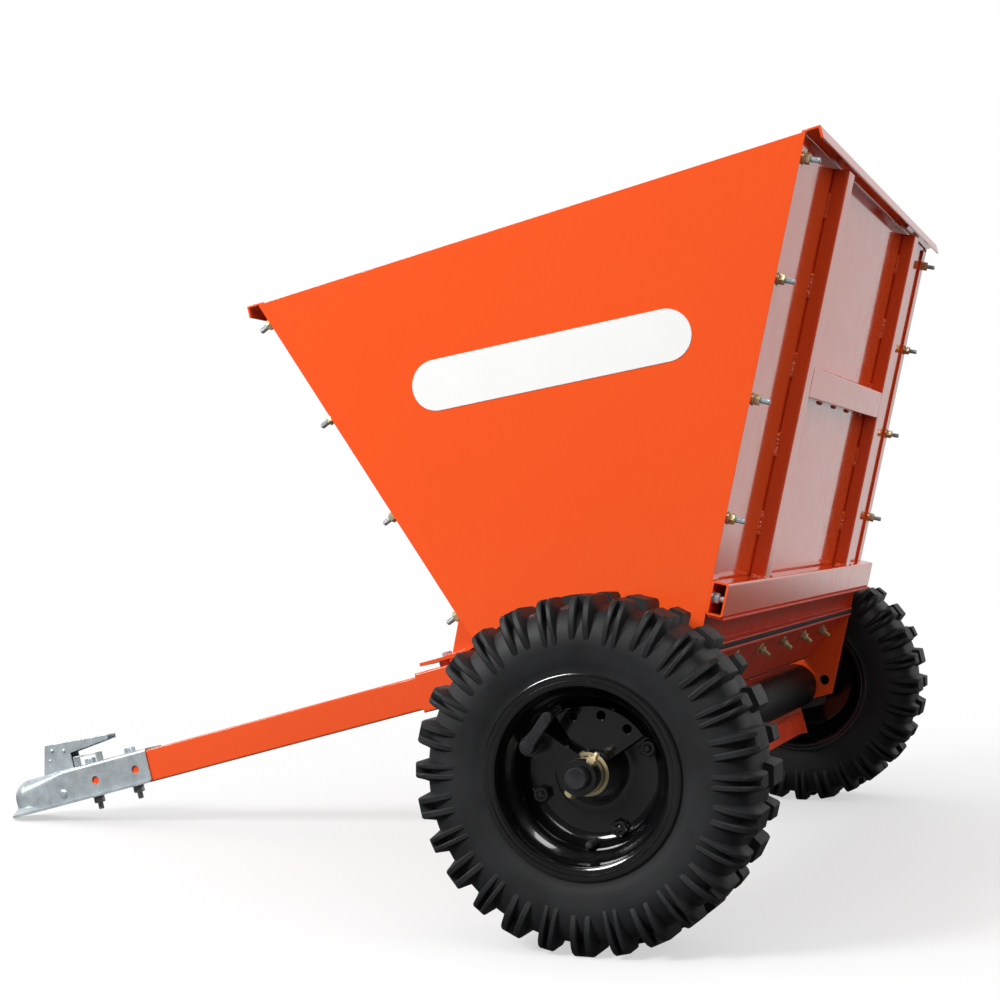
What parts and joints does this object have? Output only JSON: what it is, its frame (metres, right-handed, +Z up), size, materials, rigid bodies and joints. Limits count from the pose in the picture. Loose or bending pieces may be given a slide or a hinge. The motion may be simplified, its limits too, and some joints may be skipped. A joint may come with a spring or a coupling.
{
  "type": "towed sand spreader",
  "caption": "Towed sand spreader: open sheet-steel hopper with sloping walls over a ground-driven drum, on pneumatic wheels with a drawbar and ball coupler.",
  "frame": {"origin": "centre of the bounding box's underside, on the floor it is parked on", "axes": "+X forward towards the coupler, +Y to the machine's left, +Z up; the machine stands parked, nose down on its coupler"},
  "size_m": [1.409, 1.428, 0.923],
  "materials": {
    "orange_paint": "gloss orange powder coat",
    "tyre": "matt charcoal rubber",
    "wheel_black": "gloss black paint",
    "drum_black": "satin black coating",
    "rubber": "matt black rubber",
    "cast_housing": "painted casting",
    "dark_lever": "dark grey coating",
    "zinc_plate": "zinc plate"
  },
  "bodies": {
    "hopper": {"ball_jaw": "zinc_plate", "bearing_left": "cast_housing", "bearing_right": "cast_housing", "coupler": "zinc_plate", "cross_angle": "orange_paint", "drawbar": "orange_paint", "drawbar_sleeve": "orange_paint", "front_beam": "orange_paint", "front_chute": "orange_paint", "front_panel": "orange_paint", "front_stiffener_left": "orange_paint", "front_stiffener_right": "orange_paint", "gate_plate": "orange_paint", "hitch_strut": "orange_paint", "latch": "zinc_plate", "latch_trigger": "zinc_plate", "rear_beam": "orange_paint", "rear_chute": "orange_paint", "rear_crossbar": "orange_paint", "rear_panel": "orange_paint", "rear_stiffener_left": "orange_paint", "rear_stiffener_right": "orange_paint", "side_panel_left": "orange_paint", "side_panel_right": "orange_paint", "wiper": "rubber"},
    "drum": {"shaft": "dark_lever", "drum": "drum_black", "drive_arm_left": "wheel_black", "drive_arm_right": "wheel_black", "plunger_left": "dark_lever", "plunger_right": "dark_lever"},
    "wheel_left": {"tyre_left": "tyre", "rim_left": "wheel_black", "hub_left": "wheel_black", "valve_left": "rubber"},
    "wheel_right": {"tyre_right": "tyre", "rim_right": "wheel_black", "hub_right": "wheel_black", "valve_right": "rubber"}
  },
  "joints": [
    {"name": "drum_spin", "type": "hinge", "parent": "hopper", "child": "drum", "pos_m": [-0.46459, 0, 0.19764], "axis": [0, 1, 0], "continuous": true},
    {"name": "wheel_left_spin", "type": "hinge", "parent": "drum", "child": "wheel_left", "pos_m": [-0.46459, 0, 0.19764], "axis": [0, 1, 0], "continuous": true},
    {"name": "wheel_right_spin", "type": "hinge", "parent": "drum", "child": "wheel_right", "pos_m": [-0.46459, 0, 0.19764], "axis": [0, 1, 0], "continuous": true}
  ]
}
